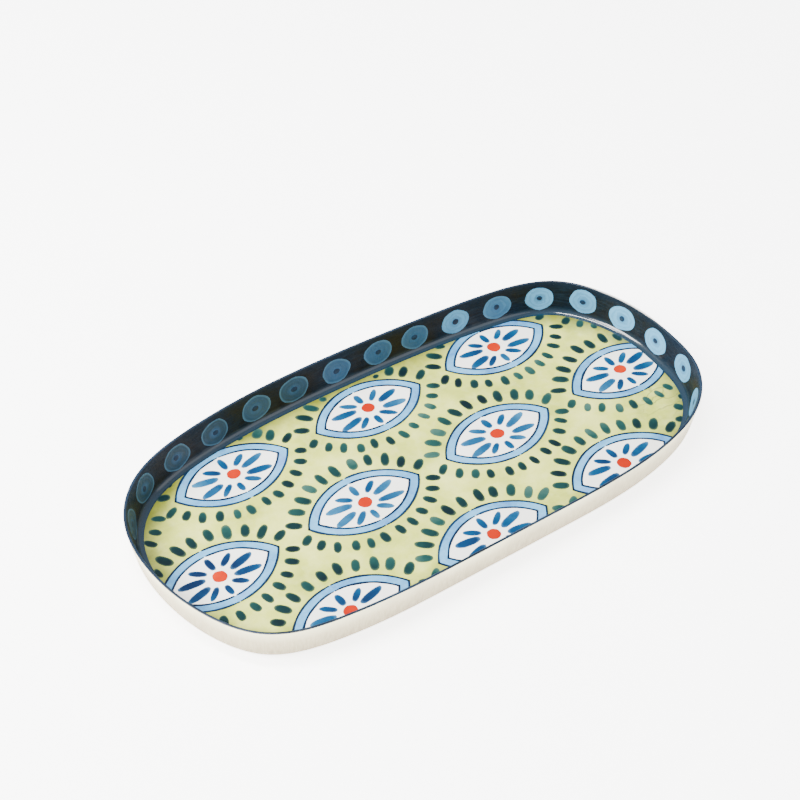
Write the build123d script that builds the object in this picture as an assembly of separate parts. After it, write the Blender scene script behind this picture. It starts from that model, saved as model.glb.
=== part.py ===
from build123d import *
import math
import os

# Oblong folk-art serving tray: one cast metal body, enamelled inside, with a painted pattern
# of eyes on the floor and a row of discs round the wall. Millimetres, +Z up, +X along the
# tray; the origin is the middle of the footprint, on the table.

# --- overall sizes -----------------------------------------------------------------------
LENGTH = 360.0           # outer rim, end to end
WIDTH = 180.5            # outer rim, side to side
HEIGHT = 24.0            # table to the top of the enamelled rim

# The rim is a hand-made rounded oblong, so its ends and sides aren't quite mirror images.
# Each pair is a share of half the length and of half the width, going round from +X.
RIM_OUTLINE = (
    (1.000, 0.000), (0.952, 0.478), (0.846, 0.771), (0.612, 0.928),
    (0.000, 1.012), (-0.617, 0.935), (-0.842, 0.767), (-0.961, 0.482),
    (-1.000, 0.000), (-0.949, -0.475), (-0.850, -0.773), (-0.622, -0.942),
    (0.000, -0.988), (0.622, -0.942), (0.843, -0.768), (0.965, -0.483),
)

# --- metal body --------------------------------------------------------------------------
WALL_FLARE = 3.5         # how far the wall leans out from foot to rim
RIM_THICKNESS = 1.3      # metal at the top of the wall
FOOT_THICKNESS = 2.0     # metal at the foot of the wall
FLOOR_THICKNESS = 2.2
BASE_RADIUS = 5.0        # outer bottom edge
INNER_RADIUS = 4.3       # wall to floor, inside

# --- enamel ------------------------------------------------------------------------------
COAT = 0.3               # fired coat on the floor, on the wall and on the rim
BAND_ON_FLOOR = 0.16     # flat strip of floor that the wall's navy coat still covers
PAINT = 0.12             # one layer of painted decoration

# --- painted eyes on the floor -----------------------------------------------------------
EYE_LENGTH = 76.0
EYE_HEIGHT = 44.0
FIELD_LENGTH = 63.0      # white field inside the blue band
FIELD_HEIGHT = 34.0
LINE_WIDTH = 0.9         # navy outlines of the band
DOT_RADIUS = 4.2
EYE_PITCH = 97.0         # from eye to eye in a row
ROW_PITCH = 62.8
FIRST_EYE = (0.2, 57.5)  # the middle eye of the far row
ROW_SLIP = 2.8           # every second row is half a pitch and this much further along
ROW_TILT = 0.009         # the rows climb this much per millimetre of length

# Petals round the dot: centre from the eye's centre, length, width, turn in degrees.
PETALS = (
    (-16.1, 3.1, 16.0, 4.6, -11), (15.3, 3.5, 16.0, 4.6, 13),
    (-16.1, -5.7, 16.0, 4.6, 12), (15.3, -5.0, 16.0, 4.6, -10),
    (-9.5, 8.1, 10.5, 3.6, -38), (8.8, 8.6, 10.5, 3.6, 38),
    (-8.9, -9.6, 10.5, 3.6, 38), (7.9, -9.4, 10.5, 3.6, -39),
    (-0.5, 10.3, 9.2, 3.9, 90), (-0.4, -11.2, 8.0, 3.6, 90),
)

# Lashes stand on an arc round each half of the eye, parallel to its edge.
UPPER_LASHES = 11
LOWER_LASHES = 12
LASH_GAP = 8.3           # edge of the eye to the middle of a lash
LASH_STEP = 11.2         # degrees between two upper lashes, seen from the arc's centre
LOWER_LASH_STEP = 10.5
UPPER_LASH = (10.0, 4.6)
LOWER_LASH = (8.0, 4.0)

# --- painted discs on the wall -----------------------------------------------------------
DISCS = 31
DISC_LENGTH = 20.5       # along the wall
DISC_HEIGHT = 16.4       # up the wall
DISC_LEVEL = 12.9        # height of the disc's centre above the table
DISC_START = 0.0275      # where the first disc stands, as a share of the way round
PUPIL_LENGTH = 4.2
PUPIL_HEIGHT = 3.4

UP = Vector(0, 0, 1)
METAL_TOP = HEIGHT - COAT
GROUND = FLOOR_THICKNESS + COAT          # top of the floor's enamel
OVER = 10.0                              # how far a cutting shape runs past what it cuts
DISC_DEPTH = 4.0                         # reach of a disc's cutting solid, each way
SMALLEST_MARK = 1.0                      # square millimetres; less than that isn't painted

os.makedirs("parts", exist_ok=True)


def rim_line(first):
    """The rim's outer edge as one closed curve that starts at one of the outline's points."""
    shares = RIM_OUTLINE[first:] + RIM_OUTLINE[:first]
    points = [(x * LENGTH / 2, y * WIDTH / 2) for x, y in shares]
    return Spline(*points, periodic=True)


RIM = rim_line(0)
RIM_FROM_LEFT = rim_line(len(RIM_OUTLINE) // 2)


def section_plane(rim):
    """Upright plane across the wall: X runs inwards from the rim's outer edge, Y is up."""
    tangent = rim % 0
    inward = UP.cross(tangent)
    return Plane(origin=rim @ 0, x_dir=inward, z_dir=inward.cross(UP))


def wall_run():
    """How far the wall's inner face leans out between the floor and the rim."""
    return WALL_FLARE + FOOT_THICKNESS - RIM_THICKNESS


def wall_lean():
    return math.atan2(wall_run(), METAL_TOP - FLOOR_THICKNESS)


def band_edge():
    """Inset of the line on the floor where the wall's navy coat ends."""
    bend = INNER_RADIUS * math.tan((math.pi / 2 - wall_lean()) / 2)
    return WALL_FLARE + FOOT_THICKNESS + bend + BAND_ON_FLOOR


def wall_section(coat):
    """Wall and a length of floor together, with the inside raised by a coat."""
    foot_end = band_edge() + OVER
    lean = wall_lean()
    sideways = coat / math.cos(lean)
    corner = WALL_FLARE + FOOT_THICKNESS + sideways - coat * math.tan(lean)
    face = make_face(Polyline(
        (0, METAL_TOP), (WALL_FLARE, 0), (foot_end, 0), (foot_end, FLOOR_THICKNESS + coat),
        (corner, FLOOR_THICKNESS + coat), (RIM_THICKNESS + sideways, METAL_TOP), close=True))
    for place, radius in (((WALL_FLARE, 0), BASE_RADIUS),
                          ((corner, FLOOR_THICKNESS + coat), INNER_RADIUS - coat)):
        vertex = face.vertices().sort_by_distance(Vector(*place, 0))[0]
        face = fillet(vertex, radius)
    return face


def swept(section, rim=RIM):
    """A section carried once round the tray, from the rim curve's first point."""
    faces = (section_plane(rim) * section).faces()
    return sweep(faces[0], path=Wire([rim.edge()]))


def level_edges(solid, height):
    """Closed edges that lie flat at one height, the shortest first."""
    edges = [e for e in solid.edges() if e.bounding_box().size.Z < 0.001]
    flat = [e for e in edges if abs(e.center().Z - height) < 0.001 and e.length > LENGTH]
    return sorted(flat, key=lambda e: e.length)


def floor_slab(ring, bottom, thickness):
    """Slab that fills a ring from its inner edge."""
    inner = level_edges(ring, bottom)[0]
    return extrude(Face(Wire([inner])), amount=thickness, dir=UP)


def tray_body():
    ring = swept(wall_section(0))
    return ring + floor_slab(ring, 0, FLOOR_THICKNESS)


def wall_enamel():
    coat = wall_section(COAT) - wall_section(0)
    reach = Pos(band_edge() / 2, HEIGHT / 2) * Rectangle(band_edge(), HEIGHT + OVER)
    return swept(coat & reach)


def rim_enamel():
    width = RIM_THICKNESS + COAT / math.cos(wall_lean())
    bead = make_face(Polyline((0, METAL_TOP), (width, METAL_TOP), (width, HEIGHT - COAT / 2),
                              (width - COAT, HEIGHT), (COAT, HEIGHT), (0, HEIGHT - COAT / 2),
                              close=True))
    return swept(bead)


def lens(length, height):
    """Pointed eye shape, two equal arcs tip to tip."""
    tips = ((-length / 2, 0), (length / 2, 0))
    return make_face(
        ThreePointArc(tips[0], (0, height / 2), tips[1])
        + ThreePointArc(tips[1], (0, -height / 2), tips[0]))


def eye_places():
    """Centres of all eyes whose lashes can reach the tray's floor."""
    places = []
    reach_x = LENGTH / 2 + EYE_LENGTH
    reach_y = WIDTH / 2 + EYE_HEIGHT
    columns = math.ceil(reach_x / EYE_PITCH) + 1
    rows = math.ceil(2 * reach_y / ROW_PITCH) + 1
    for row in range(-rows, rows + 1):
        start = FIRST_EYE[0] + (row % 2) * (EYE_PITCH / 2 + ROW_SLIP)
        for column in range(-columns, columns + 1):
            x = start + column * EYE_PITCH
            y = FIRST_EYE[1] + row * ROW_PITCH + ROW_TILT * x
            if abs(x) < reach_x and abs(y) < reach_y:
                places.append((x, y))
    return places


def stroke(x, y, length, width, turn):
    return Pos(x, y) * Rot(0, 0, turn) * Ellipse(length / 2, width / 2)


def lash_strokes():
    """The two fans of lashes round one eye."""
    edge_radius = (EYE_LENGTH ** 2 / 4 + EYE_HEIGHT ** 2 / 4) / EYE_HEIGHT
    drop = edge_radius - EYE_HEIGHT / 2
    radius = edge_radius + LASH_GAP
    strokes = []
    for side, count, step, size in ((1, UPPER_LASHES, LASH_STEP, UPPER_LASH),
                                    (-1, LOWER_LASHES, LOWER_LASH_STEP, LOWER_LASH)):
        for k in range(count):
            angle = 90 + (k - (count - 1) / 2) * step
            x = radius * math.cos(math.radians(angle))
            y = side * (radius * math.sin(math.radians(angle)) - drop)
            strokes.append(stroke(x, y, *size, side * angle))
    return strokes


def outline_faces():
    """Navy lines along both edges of the blue band."""
    outer = lens(EYE_LENGTH, EYE_HEIGHT) - offset(lens(EYE_LENGTH, EYE_HEIGHT), -LINE_WIDTH)
    field = lens(FIELD_LENGTH, FIELD_HEIGHT)
    inner = offset(field, LINE_WIDTH / 2, kind=Kind.INTERSECTION) - offset(field, -LINE_WIDTH / 2)
    return [outer, inner]


def on_floor(faces, bottom, area):
    """Flat painted shapes at every eye, as far as a part of the floor's enamel reaches."""
    solids = []
    for x, y in EYES:
        for face in faces:
            kept = Pos(x, y) * face & area
            for part in (kept.faces() if kept else []):
                if part.area > SMALLEST_MARK:
                    solids.append(extrude(Pos(0, 0, bottom) * part, amount=PAINT, dir=UP))
    return Compound(children=solids)


def disc_planes():
    """One plane for each disc, on the wall's enamel, evenly spaced at the discs' own level."""
    lean = wall_lean()
    below_top = (METAL_TOP - DISC_LEVEL) / (METAL_TOP - FLOOR_THICKNESS)
    inset = RIM_THICKNESS + COAT / math.cos(lean) + below_top * wall_run()
    line = Wire([RIM.edge()]).offset_2d(-inset)
    planes = []
    for k in range(DISCS):
        share = (DISC_START + k / DISCS) % 1
        along = line % share
        normal = UP.cross(along) * math.cos(lean) + UP * math.sin(lean)
        planes.append(Plane(origin=line @ share + UP * DISC_LEVEL, x_dir=along, z_dir=normal))
    return planes


def on_wall(planes, length, height, layer):
    """Oval dabs of paint that follow the wall, in the first or second layer."""
    below = COAT + (layer - 1) * PAINT
    section = wall_section(below + PAINT) - wall_section(below)
    skin = swept(section)
    skin_without_seam = swept(section, RIM_FROM_LEFT)
    solids = []
    for k, plane in enumerate(planes):
        # dabs on the last tenth of the way round are cut from a skin with its seam elsewhere
        at_seam = (DISC_START + k / DISCS) % 1 > 0.9
        dab = extrude(plane * Ellipse(length / 2, height / 2), amount=DISC_DEPTH, both=True)
        solids += ((skin_without_seam if at_seam else skin) & dab).solids()
    return Compound(children=solids)


def save(shape, name):
    export_step(shape, f"parts/{name}.step")


EYES = eye_places()
body = tray_body()
wall = wall_enamel()
floor = floor_slab(wall, FLOOR_THICKNESS, COAT)
FLOOR_AREA = Pos(0, 0, -GROUND) * floor.faces().sort_by(Axis.Z)[-1]
FREE_FLOOR = FLOOR_AREA - [Pos(x, y) * lens(EYE_LENGTH, EYE_HEIGHT) for x, y in EYES]
field = lens(FIELD_LENGTH, FIELD_HEIGHT)
band = lens(EYE_LENGTH, EYE_HEIGHT) - field
petals = [stroke(*petal) for petal in PETALS]
planes = disc_planes()

save(body, "tray_body")
save(wall, "wall_enamel")
save(floor, "floor_enamel")
save(rim_enamel(), "rim_enamel")
save(on_floor([band], GROUND, FLOOR_AREA), "eye_bands")
save(on_floor([field], GROUND, FLOOR_AREA), "eye_fields")
save(on_floor(outline_faces(), GROUND + PAINT, FLOOR_AREA), "eye_outlines")
save(on_floor(petals, GROUND + PAINT, FLOOR_AREA), "eye_petals")
save(on_floor([Circle(DOT_RADIUS)], GROUND + PAINT, FLOOR_AREA), "eye_dots")
save(on_floor(lash_strokes(), GROUND, FREE_FLOOR), "eye_lashes")
save(on_wall(planes, DISC_LENGTH, DISC_HEIGHT, 1), "wall_discs")
save(on_wall(planes, PUPIL_LENGTH, PUPIL_HEIGHT, 2), "wall_disc_pupils")
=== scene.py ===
import math
import random
import bpy
import bmesh
import numpy as np
from mathutils import Matrix, Vector, noise
from mathutils.geometry import convex_hull_2d


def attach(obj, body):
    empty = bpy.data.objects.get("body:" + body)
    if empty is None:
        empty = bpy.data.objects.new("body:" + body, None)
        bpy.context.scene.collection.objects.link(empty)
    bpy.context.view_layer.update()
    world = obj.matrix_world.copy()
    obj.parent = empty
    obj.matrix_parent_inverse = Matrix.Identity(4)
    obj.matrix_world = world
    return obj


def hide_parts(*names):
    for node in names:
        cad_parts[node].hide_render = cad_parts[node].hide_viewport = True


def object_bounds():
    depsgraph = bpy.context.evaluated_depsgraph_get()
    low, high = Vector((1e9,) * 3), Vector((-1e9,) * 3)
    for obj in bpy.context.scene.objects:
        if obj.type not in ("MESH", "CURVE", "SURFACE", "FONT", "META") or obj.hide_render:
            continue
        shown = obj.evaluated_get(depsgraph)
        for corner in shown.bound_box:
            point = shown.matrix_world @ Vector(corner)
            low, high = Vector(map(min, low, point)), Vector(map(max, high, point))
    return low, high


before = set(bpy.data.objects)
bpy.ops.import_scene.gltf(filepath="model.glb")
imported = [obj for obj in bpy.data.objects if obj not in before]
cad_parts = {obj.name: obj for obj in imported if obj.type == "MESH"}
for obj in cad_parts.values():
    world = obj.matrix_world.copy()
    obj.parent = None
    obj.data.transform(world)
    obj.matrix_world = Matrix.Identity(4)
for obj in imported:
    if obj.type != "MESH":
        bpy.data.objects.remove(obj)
cad_low, cad_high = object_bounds()
MM = 0.001

# --- Studio -----------------------------------------------------------------------------------
# The camera stands off the tray's near left corner and looks down on it. The tray lies on a
# glowing white table, with a soft key lamp far left, a weak fill in front and a long strip lamp
# overhead that draws a line of light in the glaze of the right end.
aim = Vector((21.7, 55.0, 0.0)) * MM
turn, tilt, away = math.radians(-34.92), math.radians(43.30), 1.040
back = Vector((math.sin(turn) * math.cos(tilt), -math.cos(turn) * math.cos(tilt), math.sin(tilt)))
camera = bpy.data.objects.new("camera", bpy.data.cameras.new("camera"))
camera.data.lens = 76.1
camera.data.sensor_width = 36.0
camera.data.clip_start = 0.01
camera.location = aim + back * away
camera.rotation_euler = (-back).to_track_quat("-Z", "Y").to_euler()
bpy.context.collection.objects.link(camera)
bpy.context.scene.camera = camera


def lamp(name, place, size, power, colour=(1.0, 1.0, 1.0)):
    light = bpy.data.lights.new(name, "AREA")
    light.shape = "RECTANGLE"
    light.size, light.size_y = size
    light.energy = power
    light.color = colour
    holder = bpy.data.objects.new(name, light)
    holder.location = place
    holder.rotation_euler = (-Vector(place)).to_track_quat("-Z", "Y").to_euler()
    bpy.context.collection.objects.link(holder)
    return holder


lamp("key_lamp", (-1.25, 0.45, 1.15), (0.9, 0.9), 95, (1.0, 0.985, 0.955))
lamp("fill_lamp", (0.9, -1.3, 0.8), (1.6, 1.6), 12, (0.96, 0.98, 1.0))
strip = lamp("strip_lamp", (-0.24, 0.2, 1.3), (0.75, 0.13), 30)
strip.rotation_euler = (0, 0, math.radians(127))

world = bpy.data.worlds.new("studio")
bpy.context.scene.world = world
world.use_nodes = True
world.node_tree.nodes["Background"].inputs["Color"].default_value = (0.93, 0.95, 1.0, 1)
world.node_tree.nodes["Background"].inputs["Strength"].default_value = 0.8

table_mesh = bmesh.new()
bmesh.ops.create_grid(table_mesh, x_segments=1, y_segments=1, size=4.0)
bmesh.ops.translate(table_mesh, verts=table_mesh.verts, vec=(0, 0, -0.1 * MM))
table = bpy.data.objects.new("table_top", bpy.data.meshes.new("table_top"))
table_mesh.to_mesh(table.data)
table_mesh.free()
bpy.context.collection.objects.link(table)


class Finish:
    """One node material: a shader, and short ways to add the nodes that feed it."""

    def __init__(self, name, roughness, coat=0.0, specular=0.5):
        self.material = bpy.data.materials.new(name)
        self.material.use_nodes = True
        self.tree = self.material.node_tree
        self.shader = self.tree.nodes["Principled BSDF"]
        self.shader.inputs["Roughness"].default_value = roughness
        self.shader.inputs["Coat Weight"].default_value = coat
        self.shader.inputs["Coat Roughness"].default_value = 0.08
        self.shader.inputs["Specular IOR Level"].default_value = specular

    def node(self, kind, **inputs):
        made = self.tree.nodes.new(kind)
        for socket, value in inputs.items():
            self.feed(made.inputs[socket.replace("_", " ")], value)
        return made

    def feed(self, socket, value):
        if isinstance(value, bpy.types.NodeSocket):
            self.tree.links.new(value, socket)
        else:
            socket.default_value = value

    def place(self, stretch=(1, 1, 1), attribute=None):
        """Object coordinates, or a mesh attribute, stretched."""
        if attribute:
            source = self.node("ShaderNodeAttribute")
            source.attribute_name = attribute
            vector = source.outputs["Vector"]
        else:
            vector = self.node("ShaderNodeTexCoord").outputs["Object"]
        return self.node("ShaderNodeMapping", Vector=vector, Scale=stretch).outputs["Vector"]

    def clouds(self, vector, scale, detail=4.0, rough=0.55):
        made = self.node("ShaderNodeTexNoise", Vector=vector, Scale=scale, Detail=detail,
                         Roughness=rough)
        return made.outputs["Fac"]

    def ramp(self, value, *stops):
        """Colours, or plain greys given as one number, at places from 0 to 1."""
        made = self.node("ShaderNodeValToRGB", Fac=value)
        marks = made.color_ramp.elements
        while len(marks) < len(stops):
            marks.new(0.5)
        for mark, (place, colour) in zip(marks, stops):
            mark.position = place
            mark.color = (*colour, 1) if isinstance(colour, tuple) else (colour,) * 3 + (1,)
        return made.outputs["Color"]

    def mix(self, share, first, second, way="MIX"):
        made = self.node("ShaderNodeMix")
        made.data_type = "RGBA"
        made.blend_type = way
        for socket, value in ((made.inputs[0], share), (made.inputs[6], first),
                              (made.inputs[7], second)):
            if isinstance(value, tuple):
                value = (*value, 1)
            self.feed(socket, value)
        return made.outputs[2]

    def math(self, operation, first, second=0.0):
        made = self.node("ShaderNodeMath")
        made.operation = operation
        self.feed(made.inputs[0], first)
        self.feed(made.inputs[1], second)
        return made.outputs[0]

    def distance(self, spot):
        """How far a point of the piece is from one spot, in metres."""
        made = self.node("ShaderNodeVectorMath", Vector=self.place())
        made.operation = "DISTANCE"
        made.inputs[1].default_value = spot
        return made.outputs["Value"]

    def parts(self, attribute):
        """The three numbers of a mesh attribute."""
        source = self.node("ShaderNodeAttribute")
        source.attribute_name = attribute
        split = self.node("ShaderNodeSeparateXYZ", Vector=source.outputs["Vector"])
        return split.outputs

    def spread(self, attribute):
        """How far out in its dab a point is: 0 in the middle, 1 at the edge."""
        dab = self.parts(attribute)
        flat = self.node("ShaderNodeCombineXYZ", X=dab["X"], Y=dab["Y"]).outputs["Vector"]
        reach = self.node("ShaderNodeVectorMath", Vector=flat)
        reach.operation = "LENGTH"
        return reach.outputs["Value"]

    def colour(self, value):
        self.feed(self.shader.inputs["Base Color"], value)

    def gloss(self, value):
        self.feed(self.shader.inputs["Roughness"], value)

    def relief(self, *heights):
        """Bumps one on the other: pairs of a height map and its depth in millimetres."""
        normal = None
        for height, depth in heights:
            bump = self.node("ShaderNodeBump", Height=height, Distance=depth * MM)
            bump.inputs["Strength"].default_value = 1.0
            if normal:
                self.feed(bump.inputs["Normal"], normal)
            normal = bump.outputs["Normal"]
        self.feed(self.shader.inputs["Normal"], normal)


paper = Finish("white_table", 0.85, specular=0.2)
paper.colour(paper.ramp(paper.clouds(paper.place(), 3.0), (0.3, 0.88), (0.7, 0.90)))
paper.shader.inputs["Emission Color"].default_value = (1, 1, 1, 1)
paper.shader.inputs["Emission Strength"].default_value = 4.5
table.data.materials.append(paper.material)


# --- Tray body --------------------------------------------------------------------------------
# One thin cast metal shell, wall and floor in one piece. Its outside has a matt off-white coat
# put on with a brush; the hand-finished outline and rim are a little uneven.
HEIGHT = cad_high.z / MM
COAT = 0.3
METAL_TOP = HEIGHT - COAT
FLOOR = 2.2
GROUND = FLOOR + COAT
RIM_THICKNESS, FOOT_THICKNESS, FLARE = 1.3, 2.0, 3.5
BASE_RADIUS, INNER_RADIUS = 5.0, 4.3
AROUND = 400
WALL_SHARES = (0, 0.25, 0.5, 0.7)
LEVEL_RUN = 20
WAVER, WAVER_LENGTH = 0.55, 55


def outline_of(node, count):
    """Even points round the outermost edge of a CAD node, seen from above, in millimetres."""
    flat = [Vector((v.co.x, v.co.y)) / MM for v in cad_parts[node].data.vertices]
    edge = np.array([flat[k] for k in convex_hull_2d(flat)])
    closed = np.vstack([edge, edge[:1]])
    way = np.concatenate([[0], np.cumsum(np.linalg.norm(np.diff(closed, axis=0), axis=1))])
    steps = np.linspace(0, way[-1], count, endpoint=False)
    points = np.column_stack([np.interp(steps, way, closed[:, k]) for k in (0, 1)])
    for _ in range(3):
        points = (np.roll(points, 1, axis=0) + 2 * points + np.roll(points, -1, axis=0)) / 4
    return [Vector(point) for point in points]


def rounded(corner, before, after, radius, steps=8):
    """Points of an arc that rounds a corner of a section between its two neighbours."""
    corner, before, after = Vector(corner), Vector(before), Vector(after)
    first, last = (before - corner).normalized(), (after - corner).normalized()
    half = first.angle(last) / 2
    middle = corner + (first + last).normalized() * radius / math.sin(half)
    start = corner + first * radius / math.tan(half) - middle
    sweep = (corner + last * radius / math.tan(half) - middle).angle_signed(start)
    return [tuple(middle + Matrix.Rotation(sweep * k / steps, 2) @ start)
            for k in range(steps + 1)]


def inner_section(lift):
    """The inside from the rim down to the floor, lifted off the metal: (inset, height)."""
    run = FLARE + FOOT_THICKNESS - RIM_THICKNESS
    lean = math.atan2(run, METAL_TOP - FLOOR)
    top = (RIM_THICKNESS + lift / math.cos(lean), METAL_TOP)
    corner = (FLARE + FOOT_THICKNESS + lift / math.cos(lean) - lift * math.tan(lean), FLOOR + lift)
    level = (corner[0] + LEVEL_RUN, FLOOR + lift)
    straight = [Vector(top).lerp(Vector(corner), share)[:] for share in WALL_SHARES]
    return straight + rounded(corner, top, level, INNER_RADIUS - lift)


def inset_down(bm, face, section):
    """Insets a level face again and again so that its edge follows a section."""
    side = face.normal.z
    for (inset, height), (next_inset, next_height) in zip(section, section[1:]):
        bmesh.ops.inset_region(bm, faces=[face], thickness=(next_inset - inset) * MM,
                               depth=(next_height - height) * side * MM,
                               use_even_offset=True, use_boundary=True)


def hand_made(bm):
    """The small unevenness of a hand-finished wall, none of it at the floor."""
    for v in bm.verts:
        rise = max(0.0, v.co.z / MM - GROUND) / (HEIGHT - GROUND)
        drift = noise.noise_vector(Vector((v.co.x, v.co.y, 0)) / MM / WAVER_LENGTH)
        v.co += Vector((drift.x, drift.y, drift.z * 0.9)) * WAVER * rise * MM


def finish_piece(bm, name, slot, finish, *nodes, smooth=True):
    """Turns a bmesh into a piece of the tray that stands for CAD nodes."""
    piece = bpy.data.objects.new(name, bpy.data.meshes.new(name))
    bm.to_mesh(piece.data)
    bm.free()
    piece.data.materials.append(finish.material)
    if smooth:
        piece.data.shade_smooth()
    else:
        piece.data.shade_flat()
    bpy.context.collection.objects.link(piece)
    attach(piece, "root")
    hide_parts(*nodes)
    return piece


def sharp_edges(bm, degrees):
    """Marks the edges that bend by more than an angle, so that they aren't shaded smooth."""
    for edge in bm.edges:
        edge.smooth = len(edge.link_faces) < 2 or edge.calc_face_angle(0) < math.radians(degrees)


rim_edge = outline_of("tray_body", AROUND)
body = bmesh.new()
corners = [body.verts.new((*(point * MM), METAL_TOP * MM)) for point in rim_edge]
under = body.faces.new(corners[::-1])
body.normal_update()
wall_points = [(FLARE * share, METAL_TOP * (1 - share)) for share in WALL_SHARES]
bend = rounded((FLARE, 0), (0, METAL_TOP), (FLARE + LEVEL_RUN, 0), BASE_RADIUS)
inset_down(body, under, wall_points + bend)
inside = body.faces.new(corners)
body.normal_update()
inset_down(body, inside, [(0, METAL_TOP)] + inner_section(0))
hand_made(body)
sharp_edges(body, 50)

shell_coat = Finish("matt_off_white_coat", 0.62, coat=0.08, specular=0.35)
brushed = shell_coat.clouds(shell_coat.place((60, 60, 7)), 14, 5, 0.6)
patches = shell_coat.clouds(shell_coat.place(), 18, 3)
height = shell_coat.node("ShaderNodeSeparateXYZ", Vector=shell_coat.place()).outputs["Z"]
# Painted shade: the coat darkens from cream at the rim to brown at the foot.
painted_shade_by_height = shell_coat.ramp(shell_coat.math("MULTIPLY", height, 1 / (HEIGHT * MM)),
                        (0.0, (0.17, 0.13, 0.075)), (0.16, (0.27, 0.215, 0.125)),
                        (0.60, (0.46, 0.39, 0.23)), (0.97, (0.82, 0.77, 0.49)))
tinted = shell_coat.mix(shell_coat.ramp(patches, (0.42, 0.0), (0.68, 0.6)), painted_shade_by_height,
                        (0.29, 0.235, 0.145))
shell_coat.colour(shell_coat.mix(shell_coat.ramp(brushed, (0.35, 0.0), (0.8, 0.45)), tinted,
                                 (0.72, 0.66, 0.44)))
shell_coat.gloss(shell_coat.ramp(brushed, (0.2, 0.5), (0.8, 0.72)))
shell_coat.relief((brushed, 0.12), (shell_coat.clouds(shell_coat.place(), 900, 3), 0.03),
                  (patches, 0.5))
finish_piece(body, "tray_body_shell", "body_white", shell_coat, "tray_body")


# --- Wall enamel ------------------------------------------------------------------------------
# Navy enamel brushed round the inside of the wall, down over the fillet and onto the floor's
# edge. The brush went along the wall, so the streaks run that way.
WALL_LEAN = math.atan2(FLARE + FOOT_THICKNESS - RIM_THICKNESS, METAL_TOP - FLOOR)
BEND = INNER_RADIUS * math.tan((math.pi / 2 - WALL_LEAN) / 2)
BAND_EDGE = FLARE + FOOT_THICKNESS + BEND + 0.16
OUTLINE_STRETCH = 1.9


def wall_coat(lift, end):
    """A closed thin ring that covers the inside of the wall as far as an inset."""
    bm = bmesh.new()
    face = bm.faces.new([bm.verts.new((*(point * MM), METAL_TOP * MM)) for point in rim_edge])
    bm.normal_update()
    section = inner_section(lift)
    inset_down(bm, face, [(0, METAL_TOP)] + section[:1])
    bmesh.ops.delete(bm, geom=[f for f in bm.faces if f is not face], context="FACES")
    inset_down(bm, face, section + [(end, FLOOR + lift)])
    bmesh.ops.delete(bm, geom=[face], context="FACES_ONLY")
    return bm


def mark_way_round(bm):
    """Stores where a point stands round the wall and how far down, for the brush streaks."""
    way = bm.verts.layers.float_vector.new("way_round")
    for v in bm.verts:
        angle = math.atan2(v.co.y * OUTLINE_STRETCH, v.co.x)
        v[way] = (math.cos(angle), math.sin(angle), v.co.z / MM)


wall = wall_coat(COAT, BAND_EDGE)
mark_way_round(wall)
hand_made(wall)
bmesh.ops.solidify(wall, geom=wall.faces[:], thickness=COAT * 0.9 * MM)
bmesh.ops.recalc_face_normals(wall, faces=wall.faces)
sharp_edges(wall, 50)

navy = Finish("navy_brushed_enamel", 0.3, specular=0.12)
streaks = navy.clouds(navy.place((9, 9, 0.55), "way_round"), 1.6, 6, 0.62)
fine = navy.clouds(navy.place((26, 26, 2.2), "way_round"), 2.0, 4, 0.6)
pools = navy.clouds(navy.place(), 32, 4, 0.6)
deep = navy.ramp(streaks, (0.30, (0.001, 0.002, 0.005)), (0.47, (0.002, 0.006, 0.012)),
                 (0.60, (0.004, 0.011, 0.020)), (0.78, (0.010, 0.022, 0.034)))
warm = navy.mix(navy.ramp(pools, (0.44, 0.0), (0.60, 0.85)), deep, (0.009, 0.007, 0.005))
ridged = navy.mix(navy.ramp(fine, (0.58, 0.0), (0.80, 0.4)), warm, (0.012, 0.024, 0.036))
rise = navy.math("MULTIPLY", navy.parts("way_round")["Z"], 1 / HEIGHT)
pooled = navy.mix(navy.ramp(rise, (0.10, 0.9), (0.30, 0.0)), ridged, (0.003, 0.019, 0.036))
navy.colour(navy.mix(navy.ramp(rise, (0.78, 0.0), (0.96, 0.7)), pooled, (0.003, 0.011, 0.026)))
navy.gloss(navy.ramp(fine, (0.2, 0.22), (0.9, 0.42)))
navy.feed(navy.shader.inputs["Coat Weight"], navy.ramp(rise, (0.17, 1.0), (0.27, 0.03)))
navy.relief((fine, 0.05), (streaks, 0.12))
finish_piece(wall, "wall_navy_coat", "navy_enamel", navy, "wall_enamel")


# --- Rim line ---------------------------------------------------------------------------------
# A rounded bead of navy enamel, drawn with a fine brush along the top of the rim. At one place
# the line runs too far inwards and leaves a pale sliver of the rim bare.
BEAD_WIDTH = RIM_THICKNESS + COAT / math.cos(WALL_LEAN)
ARCH_STEPS = 8
BARE_SPOT = Vector((174.5, 27.0, 24.0)) * MM


def mark_gap(bm, name, edge, whole):
    """Stores how far each point stands from an edge, seen from above, as a share of a whole."""
    layer = bm.verts.layers.float_vector.new(name)
    for v in bm.verts:
        gap = min((Vector((v.co.x, v.co.y)) / MM - point).length for point in edge)
        v[layer] = (gap / whole, 0, 0)


bead = bmesh.new()
crown = bead.faces.new([bead.verts.new((*(point * MM), METAL_TOP * MM)) for point in rim_edge])
bead.normal_update()
arch = [(BEAD_WIDTH * (1 - math.cos(math.pi * k / ARCH_STEPS)) / 2,
         METAL_TOP + COAT * math.sin(math.pi * k / ARCH_STEPS)) for k in range(ARCH_STEPS + 1)]
inset_down(bead, crown, arch)
bmesh.ops.delete(bead, geom=[crown], context="FACES_ONLY")
mark_gap(bead, "over_rim", rim_edge, BEAD_WIDTH)
bmesh.ops.bridge_loops(bead, edges=[e for e in bead.edges if e.is_boundary])
hand_made(bead)
sharp_edges(bead, 60)

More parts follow.
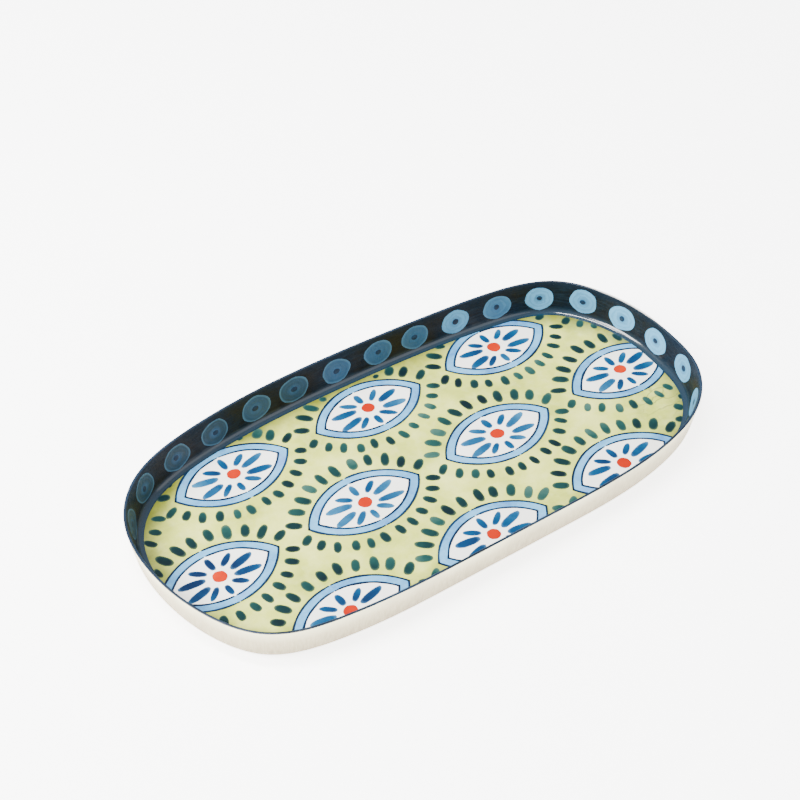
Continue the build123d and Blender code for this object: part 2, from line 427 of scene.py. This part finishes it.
line = Finish("navy_rim_line", 0.3, specular=0.3)
wander = line.clouds(line.place(), 40, 3)
near_bare = line.ramp(line.math("MULTIPLY", line.distance(BARE_SPOT), 20), (0.35, 1.0), (0.9, 0.0))
edge_share = line.math("ADD", line.parts("over_rim")["X"], line.math("MULTIPLY", wander, 0.3))
bare = line.ramp(line.math("SUBTRACT", near_bare, edge_share), (0.0, 0.0), (0.08, 1.0))
inked = line.ramp(wander, (0.35, (0.004, 0.010, 0.020)), (0.7, (0.012, 0.026, 0.050)))
line.colour(line.mix(bare, inked, (0.80, 0.77, 0.70)))
line.relief((wander, 0.1))
finish_piece(bead, "rim_navy_line", "rim_navy", line, "rim_enamel")


# --- Floor enamel -----------------------------------------------------------------------------
# The sage-cream ground on the floor, flooded on and fired glossy. Along the wall it is darker
# and more olive, partly glaze pooled there and partly painted shade where floor meets wall; a
# few dry brush lines show in it, and near the right end it has crawled into fine wrinkles.
POOL_AND_SHADE_WIDTH = 26
WRINKLED_SPOT = Vector((150.0, -36.0, GROUND)) * MM
floor_edge = outline_of("floor_enamel", AROUND)
floor = bmesh.new()
ground = floor.faces.new([floor.verts.new((*(point * MM), GROUND * MM)) for point in floor_edge])
floor.normal_update()
depths = (0, 1.0, 2.5, 5, 8, 12, 17, 22)
inset_down(floor, ground, [(depth, GROUND) for depth in depths])
mark_gap(floor, "from_wall", floor_edge, POOL_AND_SHADE_WIDTH)
bmesh.ops.solidify(floor, geom=floor.faces[:], thickness=COAT * 0.9 * MM)
bmesh.ops.recalc_face_normals(floor, faces=floor.faces)
sharp_edges(floor, 50)

sage = Finish("sage_cream_enamel", 0.2, coat=0.5)
mottle = sage.clouds(sage.place(), 26, 5, 0.6)
wisps = sage.clouds(sage.place((30, 55, 1)), 1.5, 6, 0.7)
dabbed = sage.clouds(sage.place(), 140, 4, 0.6)
pale = sage.ramp(mottle, (0.32, (0.36, 0.41, 0.055)), (0.50, (0.52, 0.57, 0.095)),
                 (0.68, (0.68, 0.71, 0.18)))
whiter = sage.mix(sage.ramp(dabbed, (0.45, 0.0), (0.85, 0.4)), pale, (0.74, 0.75, 0.32))
# Darker and more olive towards the wall: pooled glaze and painted shade together.
shore = sage.math("ADD", sage.parts("from_wall")["X"], sage.math("MULTIPLY", mottle, 0.9))
olive = sage.mix(sage.ramp(shore, (0.40, 0.92), (1.3, 0.0)), whiter, (0.13, 0.14, 0.012))
wispy = sage.mix(sage.ramp(wisps, (0.60, 0.0), (0.82, 0.4)), olive, (0.30, 0.34, 0.07))
near_fold = sage.ramp(sage.math("MULTIPLY", sage.distance(WRINKLED_SPOT), 45),
                      (0.3, 1.0), (1.0, 0.0))
folds = sage.ramp(sage.clouds(sage.place((1, 2.2, 1)), 60, 2),
                  (0.46, 0.0), (0.49, 1.0), (0.52, 0.0))
# The folds are bumped, and their colour is also painted darker: painted shade in the creases.
wrinkles_and_fold_shade = sage.math("MULTIPLY", near_fold, folds)
sage.colour(sage.mix(sage.math("MULTIPLY", wrinkles_and_fold_shade, 0.55), wispy, (0.12, 0.15, 0.03)))
sage.gloss(sage.ramp(mottle, (0.3, 0.16), (0.8, 0.28)))
sage.relief((mottle, 0.5), (dabbed, 0.05), (wisps, 0.08), (wrinkles_and_fold_shade, 0.25))
finish_piece(floor, "floor_sage_coat", "sage_enamel", sage, "floor_enamel")


# --- Eye bands and fields ---------------------------------------------------------------------
# Each eye starts as a cream-white pointed oval with a pale blue band brushed round it. The blue
# drifts between sky and periwinkle as the brush was reloaded.
band_blue = Finish("pale_blue_brushwork", 0.24, coat=0.5)
drift = band_blue.clouds(band_blue.place(), 34, 4, 0.6)
bristle = band_blue.clouds(band_blue.place(), 420, 3, 0.6)
blues = band_blue.ramp(drift, (0.32, (0.05, 0.17, 0.40)), (0.45, (0.08, 0.27, 0.50)),
                       (0.58, (0.12, 0.36, 0.60)), (0.72, (0.11, 0.22, 0.50)))
band_blue.colour(band_blue.mix(band_blue.ramp(bristle, (0.5, 0.0), (0.8, 0.4)), blues,
                               (0.22, 0.47, 0.70)))
band_blue.relief((bristle, 0.03), (drift, 0.1))
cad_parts["eye_bands"].data.materials[0] = band_blue.material

cream = Finish("cream_white_field", 0.22, coat=0.5)
chalk = cream.clouds(cream.place(), 60, 5, 0.65)
cream.colour(cream.ramp(chalk, (0.3, (0.86, 0.85, 0.78)), (0.55, (0.92, 0.91, 0.87)),
                        (0.8, (0.93, 0.94, 0.93))))
cream.relief((chalk, 0.12), (cream.clouds(cream.place(), 500, 3), 0.02))
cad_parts["eye_fields"].data.materials[0] = cream.material


# --- Eye outlines -----------------------------------------------------------------------------
# Thin navy lines along both edges of the band, drawn with a liner brush in four pulls, tip to
# middle, so they swell and thin and leave a small gap where two pulls meet.
EYE = (76.0, 44.0)
FIELD = (63.0, 34.0)
LINE = 1.4
OVER_TIP = 0.008
PAINT = 0.12


def marks_of(node):
    """Middle, direction, length and width of every separate mark of a CAD node."""
    bm = bmesh.new()
    bm.from_mesh(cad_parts[node].data)
    bmesh.ops.remove_doubles(bm, verts=bm.verts, dist=0.001 * MM)
    unseen = set(bm.verts)
    marks = []
    while unseen:
        group = [unseen.pop()]
        for v in group:
            for edge in v.link_edges:
                other = edge.other_vert(v)
                if other in unseen:
                    unseen.discard(other)
                    group.append(other)
        points = np.array([v.co for v in group]) / MM
        axes = np.linalg.eigh(np.cov((points - points.mean(axis=0)).T))[1]
        along = Vector(axes[:, 2]) * (1 if axes[0, 2] >= 0 else -1)
        across = Vector(axes[:, 1])
        reach = points @ np.array(along), points @ np.array(across)
        middle = Vector((points.min(axis=0) + points.max(axis=0)) / 2)
        marks.append((middle, along, np.ptp(reach[0]), np.ptp(reach[1])))
    bm.free()
    return sorted(marks, key=lambda mark: (round(mark[0].y / 20), mark[0].x))


edge_angles = [math.atan2(point.y, point.x) for point in floor_edge]
edge_reaches = [point.length for point in floor_edge]


def floor_room(point):
    """How far the floor's enamel reaches from the middle, in a point's direction."""
    angle = math.atan2(point.y, point.x)
    return np.interp(angle, edge_angles, edge_reaches, period=2 * math.pi)


def keep_on_floor(bm):
    """Takes off what the navy wall coat covers."""
    beyond = {v for v in bm.verts if Vector((v.co.x, v.co.y)).length / MM > floor_room(v.co)}
    lost = [f for f in bm.faces if all(v in beyond for v in f.verts)]
    bmesh.ops.delete(bm, geom=lost, context="FACES")
    for v in bm.verts:
        flat = Vector((v.co.x, v.co.y))
        room = floor_room(v.co) * MM
        if flat.length > room:
            v.co.x, v.co.y = flat.normalized() * room


def liner_pull(bm, centre, radius, half_turn, side, end, grain):
    """One pull of the liner brush along an arc, from a small gap at its middle out to its tip."""
    outer = bm.verts.new((centre + Vector((0, side * (radius + LINE / 2), 0))) * MM)
    inner = bm.verts.new((centre + Vector((0, side * (radius - LINE / 2), 0))) * MM)
    start = [outer, inner, bm.edges.new((outer, inner))]
    gap = random.uniform(0.3, 0.8) / radius
    turned = Matrix.Rotation(-end * side * gap, 3, "Z")
    bmesh.ops.rotate(bm, verts=start[:2], cent=centre * MM, matrix=turned)
    bmesh.ops.spin(bm, geom=start, cent=centre * MM, axis=(0, 0, 1),
                   angle=-end * side * (half_turn + OVER_TIP - gap), steps=22)
    tone = random.uniform(0.2, 0.8)
    number, length = grain
    drawn = {v for f in bm.faces for v in f.verts if not v.tag}
    for v in drawn:
        v.tag = True
        arm = Vector((v.co.x, v.co.y)) / MM - centre.xy
        share = arm.angle(Vector((0, side))) / half_turn
        swell = 0.32 * noise.noise(Vector((share * 4, number, side * 3 + end))) - 0.1
        waver = 0.3 * noise.noise(Vector((share * 3, number + 9, length)))
        thick = LINE / 2 * (1 + swell) * (1 - 0.35 * (share < 0.06))
        out = 1 if arm.length > radius else -1
        place = centre.xy + arm.normalized() * (radius + waver + out * thick)
        v.co.x, v.co.y = place * MM
        v[stroke_key] = (share, out, tone)


random.seed(7)
eyes = [mark[0] for mark in marks_of("eye_dots")]
outlines = bmesh.new()
stroke_key = outlines.verts.layers.float_vector.new("stroke")
level = GROUND + 2 * PAINT
for number, eye in enumerate(eyes):
    for length, height in (EYE, FIELD):
        radius = (length ** 2 + height ** 2) / 4 / height
        half_turn = math.asin(length / 2 / radius)
        for side in (1, -1):
            centre = Vector((eye.x, eye.y - side * (radius - height / 2), level))
            for end in (-1, 1):
                liner_pull(outlines, centre, radius, half_turn, side, end, (number, length))
keep_on_floor(outlines)
bmesh.ops.recalc_face_normals(outlines, faces=outlines.faces)
for face in outlines.faces:
    if face.normal.z < 0:
        face.normal_flip()
bmesh.ops.solidify(outlines, geom=outlines.faces[:], thickness=PAINT * MM)
bmesh.ops.recalc_face_normals(outlines, faces=outlines.faces)

ink = Finish("navy_liner_strokes", 0.35, specular=0.15)
stroke = ink.parts("stroke")
wash = ink.clouds(ink.place(), 70, 4, 0.6)
thin = ink.math("ADD", ink.math("MULTIPLY", stroke["Z"], 0.5), ink.math("MULTIPLY", wash, 0.6))
ink.colour(ink.ramp(thin, (0.25, (0.002, 0.007, 0.022)), (0.55, (0.002, 0.013, 0.038)),
                    (0.85, (0.008, 0.034, 0.080))))
ink.relief((wash, 0.04))
finish_piece(outlines, "eye_liner_strokes", "navy_line", ink, "eye_outlines", smooth=False)


# --- Petals, dots and lashes ------------------------------------------------------------------
# Single presses of a loaded round brush: ten blue petals and an orange-red dot in each eye, and
# dark teal lashes round it. The paint is thick where the brush landed and thins out as it lifts.
def round_face(bm, sides):
    """A round face of radius 1 that looks up, and the vertices round it."""
    base = bmesh.ops.create_circle(bm, cap_ends=True, segments=sides, radius=1.0)["verts"]
    face = base[0].link_faces[0]
    face.normal_update()
    if face.normal.z < 0:
        face.normal_flip()
    return face, base


def brush_dab(bm, middle, along, length, width, level, tip, tone, key, sides=16, bulge=2.3):
    """One flat blunt-ended dab: its front end is slimmer than its back by tip."""
    face, base = round_face(bm, sides)
    bmesh.ops.inset_individual(bm, faces=[face], thickness=0.25, use_even_offset=True)
    dome = list(face.verts)
    outer = {edge for v in base for edge in v.link_edges if edge.is_boundary}
    skirt = bmesh.ops.extrude_edge_only(bm, edges=list(outer))
    low = [v for v in skirt["geom"] if isinstance(v, bmesh.types.BMVert)]
    sway = random.uniform(-0.10, 0.10)
    direction = Vector((along.x, along.y)).normalized()
    for v in {*base, *dome, *low}:
        x, y = v.co.x, v.co.y
        rise = PAINT if v in dome else (PAINT * 0.75 if v in base else -0.02)
        v[key] = (x, y, tone)
        plump = (abs(x) ** bulge + abs(y) ** bulge) ** (-1 / bulge) * math.hypot(x, y)
        x, y = x * plump, y * plump * (1 - tip * x * abs(x))
        ragged = 1 + 0.07 * noise.noise(Vector((x * 2, y * 2, middle.x + middle.y)))
        far = x * length / 2 * ragged
        wide = (y + sway * x * x) * width / 2 * ragged
        v.co = Vector((middle.x + direction.x * far - direction.y * wide,
                       middle.y + direction.y * far + direction.x * wide, level + rise)) * MM


def close_up(bm):
    """Closes the underside of every dab and turns all faces outward."""
    bmesh.ops.holes_fill(bm, edges=[edge for edge in bm.edges if edge.is_boundary], sides=0)
    bmesh.ops.recalc_face_normals(bm, faces=bm.faces)
    sharp_edges(bm, 40)


def loosely(mark, shift, turn_by, grow):
    """A mark with the small slips of a hand: shift in millimetres, turn in degrees."""
    middle, along, length, width = mark
    angle = math.radians(random.gauss(0, turn_by))
    slipped = middle + Vector((random.gauss(0, shift), random.gauss(0, shift), 0))
    return (slipped, Matrix.Rotation(angle, 3, "Z") @ along,
            length * (1 + random.gauss(0, grow)), width * (1 + random.gauss(0, grow)))


def brush_load(finish, water, lean):
    """How thin the paint is: it changes along the dab by lean, and unevenly with the water."""
    stroke = finish.parts("stroke")
    pressed = finish.math("ADD", finish.math("MULTIPLY", stroke["X"], lean), stroke["Z"])
    watered = finish.math("ADD", pressed, finish.math("MULTIPLY", water, 0.5))
    return finish.math("SUBTRACT", watered, 0.25)


petals = bmesh.new()
petal_key = petals.verts.layers.float_vector.new("stroke")
eye_tones = (0.40, 0.45, 0.40, 0.18, 0.62, 0.66, 0.45, 0.45, 0.52, 0.45)
for mark in marks_of("eye_petals"):
    middle, along, length, width = loosely(mark, 0.2, 2.0, 0.04)
    nearest = min(range(len(eyes)), key=lambda number: (eyes[number] - middle).length)
    outward = along * (1 if along.dot(middle - eyes[nearest]) > 0 else -1)
    tone = min(1.0, max(0.0, eye_tones[nearest] + random.gauss(0, 0.12)))
    brush_dab(petals, middle, outward, length, width * 1.12, GROUND + PAINT, 0.10, tone, petal_key)
close_up(petals)

petal_blue = Finish("blue_petal_strokes", 0.35, specular=0.12)
water = petal_blue.clouds(petal_blue.place(), 160, 4, 0.6)
blue = petal_blue.ramp(brush_load(petal_blue, water, 0.16),
                       (0.05, (0.002, 0.012, 0.045)), (0.35, (0.003, 0.030, 0.090)),
                       (0.65, (0.006, 0.060, 0.140)), (0.95, (0.028, 0.130, 0.240)))
thinned = petal_blue.ramp(petal_blue.spread("stroke"), (0.74, 0.0), (1.0, 0.4))
petal_blue.colour(petal_blue.mix(thinned, blue, (0.08, 0.22, 0.38)))
petal_blue.relief((water, 0.04))
finish_piece(petals, "eye_petal_strokes", "petal_blue", petal_blue, "eye_petals")

dots = bmesh.new()
dot_key = dots.verts.layers.float_vector.new("stroke")
for mark in marks_of("eye_dots"):
    middle, along, length, width = loosely(mark, 0.5, 20, 0.04)
    brush_dab(dots, middle, along, length, width, GROUND + PAINT, 0.0, random.random(), dot_key,
              sides=24, bulge=2.0)
close_up(dots)

orange = Finish("orange_red_dots", 0.35, specular=0.12)
stroke = orange.parts("stroke")
heat = orange.clouds(orange.place(), 120, 4, 0.6)
orange.colour(orange.ramp(orange.math("ADD", orange.math("MULTIPLY", stroke["Z"], 0.35),
                                     orange.math("MULTIPLY", heat, 0.6)),
                          (0.2, (0.30, 0.008, 0.0006)), (0.5, (0.37, 0.015, 0.001)),
                          (0.85, (0.50, 0.038, 0.004))))
orange.relief((heat, 0.06))
finish_piece(dots, "eye_dot_dabs", "orange_red", orange, "eye_dots")

lashes = bmesh.new()
lash_key = lashes.verts.layers.float_vector.new("stroke")
for mark in marks_of("eye_lashes"):
    middle, along, length, width = loosely(mark, 0.45, 4.0, 0.06)
    tone = 0.42 + 0.8 * noise.noise(middle / 42) + random.gauss(0, 0.12)
    along = along * (1 if along.y > 0 else -1)
    brush_dab(lashes, middle, along, length * 1.05, width * 1.22, GROUND, 0.08,
              min(1, max(0, tone)), lash_key)
keep_on_floor(lashes)
close_up(lashes)

teal = Finish("dark_teal_lashes", 0.35, specular=0.12)
water = teal.clouds(teal.place(), 130, 4, 0.6)
green = teal.ramp(brush_load(teal, water, 0.14),
                  (0.05, (0.002, 0.009, 0.012)), (0.40, (0.004, 0.021, 0.022)),
                  (0.70, (0.009, 0.042, 0.038)), (1.00, (0.040, 0.100, 0.080)))
thinned = teal.ramp(teal.spread("stroke"), (0.70, 0.0), (1.0, 0.45))
teal.colour(teal.mix(thinned, green, (0.10, 0.16, 0.075)))
teal.relief((water, 0.04))
finish_piece(lashes, "eye_lash_dabs", "teal_green", teal, "eye_lashes")


# --- Wall discs and pupils --------------------------------------------------------------------
# Sky-blue discs stand evenly round the navy wall, each laid with one turn of a flat brush that
# leaves faint rings and a paler rim, and a small navy dot is pressed into the middle.
DISC_WIDTH, DISC_HEIGHT = 20.5, 15.9
rim_loop = np.array([point[:] for point in rim_edge])
steps = np.linalg.norm(np.roll(rim_loop, -1, axis=0) - rim_loop, axis=1)
rim_way = np.concatenate([[0], np.cumsum(steps)])
closed_loop = np.vstack([rim_loop, rim_loop[:1]])


def round_rim(way):
    """The point of the rim at a distance round it."""
    return Vector([np.interp(way % rim_way[-1], rim_way, closed_loop[:, k]) for k in (0, 1)])


def on_wall(way, height, lift):
    """The point of the wall's enamel at a distance round the rim and a height, lifted off."""
    tangent = (round_rim(way + 1.5) - round_rim(way - 1.5)).normalized()
    inward = Vector((-tangent.y, tangent.x))
    section = inner_section(COAT + lift)
    heights = [point[1] for point in section][::-1]
    insets = [point[0] for point in section][::-1]
    inset = np.interp(height, heights, insets)
    return Vector((*(round_rim(way) + inward * inset), height)) * MM


def way_of(point):
    """How far round the rim a point of the wall stands."""
    gaps = np.linalg.norm(rim_loop - np.array(point.xy), axis=1)
    return rim_way[int(gaps.argmin())]


def wall_dab(bm, way, height, wide, tall, lift, key, tone, sides, rings):
    """A round dab that follows the wall, with a ring of faces for each of its insets."""
    face, base = round_face(bm, sides)
    seen = set(base)
    for share in rings:
        bmesh.ops.inset_individual(bm, faces=[face], thickness=share, use_even_offset=True)
        seen |= set(face.verts)
    for v in seen:
        x, y = v.co.x, v.co.y
        v[key] = (x, y, tone)
        ragged = 1 + 0.09 * noise.noise(Vector((x * 1.6, y * 1.6, way)))
        rise = lift * 0.6 if v in base else lift
        v.co = on_wall(way - x * wide / 2 * ragged, height + y * tall / 2 * ragged, rise)


discs = bmesh.new()
disc_key = discs.verts.layers.float_vector.new("disc")
pupils = bmesh.new()
pupil_key = pupils.verts.layers.float_vector.new("disc")
for middle, *_ in marks_of("wall_discs"):
    way = way_of(middle) + random.gauss(0, 0.5)
    height = middle.z + random.gauss(0, 0.35)
    # The tone climbs towards the tray's right end: painted light, brighter on the lit right end
    # wall and darker on the shaded left end, with a small random spread.
    tone = min(1, max(0, 0.42 + middle.x / 380 + random.gauss(0, 0.08)))
    wall_dab(discs, way, height, DISC_WIDTH * (1 + random.gauss(0, 0.03)), DISC_HEIGHT, PAINT,
             disc_key, tone, 24, (0.12, 0.26, 0.30))
    wall_dab(pupils, way + random.gauss(0, 0.5), height + random.gauss(0, 0.3),
             random.uniform(3.8, 5.0), random.uniform(3.1, 4.0), 2.6 * PAINT, pupil_key, tone, 12,
             (0.35,))
for bm in (discs, pupils):
    hand_made(bm)
    bm.normal_update()
    bmesh.ops.solidify(bm, geom=bm.faces[:], thickness=PAINT * MM)
    bmesh.ops.recalc_face_normals(bm, faces=bm.faces)
    sharp_edges(bm, 40)

sky = Finish("sky_blue_discs", 0.35, specular=0.2)
disc = sky.parts("disc")
radius = sky.spread("disc")
bristle = sky.clouds(sky.place(), 260, 4, 0.6)
wound = sky.math("ADD", sky.math("MULTIPLY", radius, 21), sky.math("MULTIPLY", bristle, 11))
rings = sky.math("SINE", wound)
wet = sky.clouds(sky.place(), 60, 3, 0.6)
# The disc's tone carries that painted light from end to end, with wet patches over it.
tone_and_painted_light = sky.math("ADD", disc["Z"], sky.math("MULTIPLY", wet, 0.3))
flat_sky = sky.ramp(sky.math("SUBTRACT", tone_and_painted_light, 0.15),
                    (0.1, (0.016, 0.042, 0.062)), (0.55, (0.032, 0.100, 0.185)),
                    (0.9, (0.10, 0.33, 0.54)))
ringed = sky.mix(sky.ramp(rings, (0.1, 0.0), (0.9, 0.22)), flat_sky, (0.02, 0.075, 0.15))
clouded = sky.mix(sky.ramp(radius, (0.22, 0.55), (0.46, 0.0)), ringed, (0.03, 0.105, 0.21))
sky.colour(sky.mix(sky.ramp(radius, (0.84, 0.0), (0.95, 0.35)), clouded, (0.11, 0.27, 0.40)))
sky.relief((rings, 0.03), (bristle, 0.05))
finish_piece(discs, "wall_sky_discs", "sky_blue", sky, "wall_discs")

pupil_navy = Finish("navy_disc_dots", 0.3, specular=0.2)
spot = pupil_navy.clouds(pupil_navy.place(), 200, 3)
pupil_navy.colour(pupil_navy.ramp(spot, (0.35, (0.003, 0.012, 0.030)),
                                  (0.7, (0.008, 0.032, 0.070))))
pupil_navy.relief((spot, 0.05))
finish_piece(pupils, "wall_disc_dots", "pupil_navy", pupil_navy, "wall_disc_pupils")
